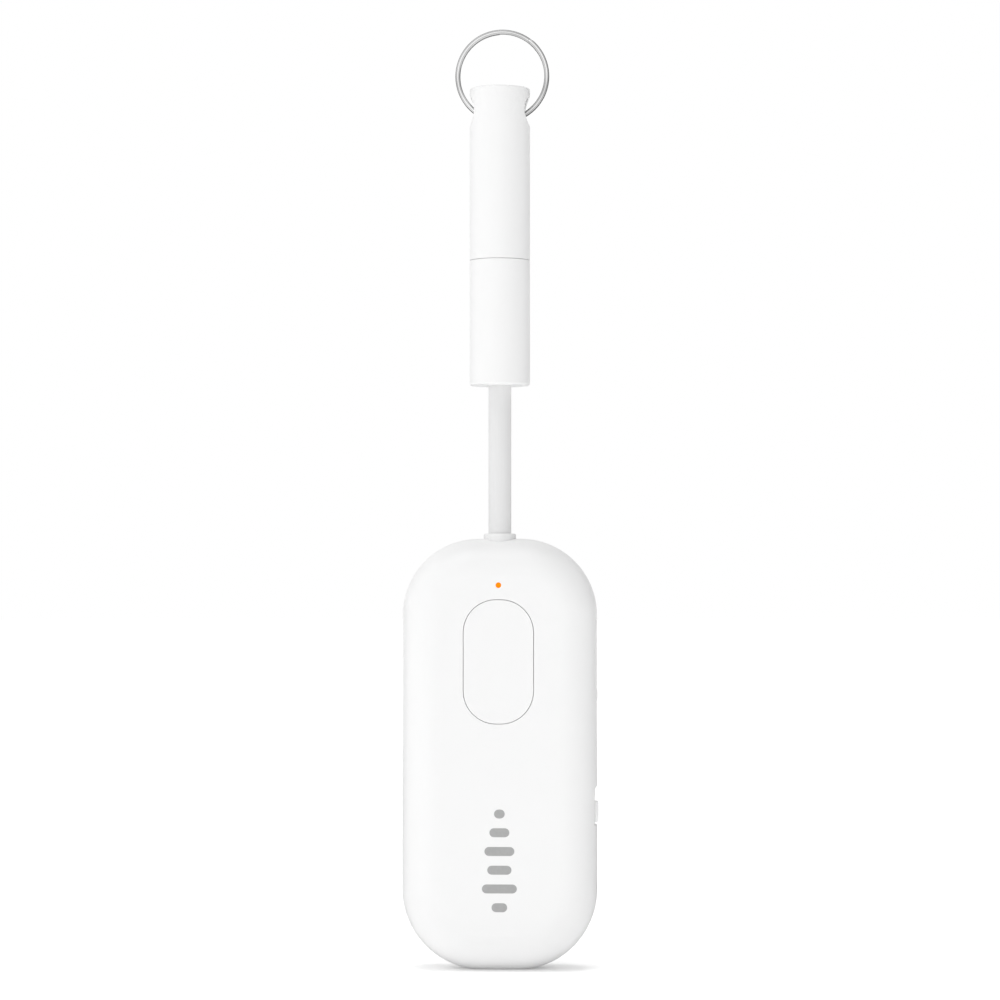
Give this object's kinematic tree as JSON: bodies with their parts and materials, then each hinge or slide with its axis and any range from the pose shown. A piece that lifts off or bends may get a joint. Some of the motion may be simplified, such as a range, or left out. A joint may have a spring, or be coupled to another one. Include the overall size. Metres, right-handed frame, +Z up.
{
  "type": "bluetooth audio receiver",
  "caption": "Pocket wireless audio receiver with a captive cable, a 3.5 mm stereo plug and a key-ring cap over it.",
  "frame": {"origin": "the inner top of the key ring, the point that the object hangs from", "axes": "+Z up along the whole object, -Y out of the front face with the button, +X to the side with the mode switch"},
  "size_m": [0.0278, 0.011, 0.1335],
  "materials": {
    "white_gloss": "gloss",
    "white_button": "satin",
    "white_grommet": "satin",
    "cable_jacket": "satin",
    "ring_chrome": "polished",
    "liner_grey": "matte",
    "core_plastic": "matte",
    "gold_contact": "polished",
    "black_plastic": "matte",
    "light_clear": "gloss",
    "board_green": "satin",
    "steel": "brushed",
    "antenna_ceramic": "matte",
    "cell_foil": "satin",
    "foam_black": "matte",
    "wire_red": "satin",
    "wire_white": "satin"
  },
  "bodies": {
    "key_ring": {"key_ring": "ring_chrome"},
    "cap": {"cap_shell": "white_gloss", "cap_liner": "liner_grey"},
    "plug": {"plug_barrel": "white_gloss", "plug_core": "core_plastic", "plug_sleeve_contact": "gold_contact", "plug_insulator": "black_plastic", "plug_ring_contact": "gold_contact", "plug_tip_contact": "gold_contact"},
    "button": {"power_button": "white_button", "button_pad": "liner_grey", "tact_plunger": "black_plastic"},
    "mode_selector": {"mode_knob": "white_button", "mode_slider": "black_plastic"},
    "housing": {"front_shell": "white_gloss", "rear_shell": "white_gloss", "microphone_cap": "white_button", "cable_grommet": "white_grommet", "audio_cable": "cable_jacket", "usb_contacts": "gold_contact", "wire_ground": "gold_contact", "usb_tongue": "black_plastic", "bluetooth_chip": "black_plastic", "audio_converter": "black_plastic", "charge_controller": "black_plastic", "mode_switch_case": "black_plastic", "battery_lead_black": "black_plastic", "light_pipe": "light_clear", "status_led": "light_clear", "circuit_board": "board_green", "battery_guard_board": "board_green", "usb_shell": "steel", "radio_shield": "steel", "board_screws": "steel", "microphone": "steel", "clock_crystal": "steel", "tact_switch": "steel", "chip_antenna": "antenna_ceramic", "small_components": "antenna_ceramic", "battery_cell": "cell_foil", "battery_foam": "foam_black", "battery_tape": "foam_black", "battery_lead_red": "wire_red", "wire_right": "wire_red", "wire_left": "wire_white"}
  },
  "joints": [
    {"name": "cap_swing", "type": "hinge", "parent": "key_ring", "child": "cap", "pos_m": [0, 0, -0.011], "axis": [1, 0, 0], "range_deg": [-150, 150]},
    {"name": "plug_pull", "type": "slide", "parent": "cap", "child": "plug", "axis": [0, 0, -1], "range_m": [0, 0.032]},
    {"name": "cable_bend", "type": "hinge", "parent": "plug", "child": "housing", "pos_m": [0, 0, -0.0607], "axis": [1, 0, 0], "range_deg": [-60, 60], "stiffness_Nm_per_rad": 0.004, "deforming": ["audio_cable"]},
    {"name": "button_press", "type": "slide", "parent": "housing", "child": "button", "axis": [0, 1, 0], "range_m": [0, 0.00025], "stiffness_N_per_m": 2000, "springref_m": -0.0005},
    {"name": "mode_slide", "type": "slide", "parent": "housing", "child": "mode_selector", "axis": [0, 0, 1], "range_m": [0, 0.00205]}
  ]
}
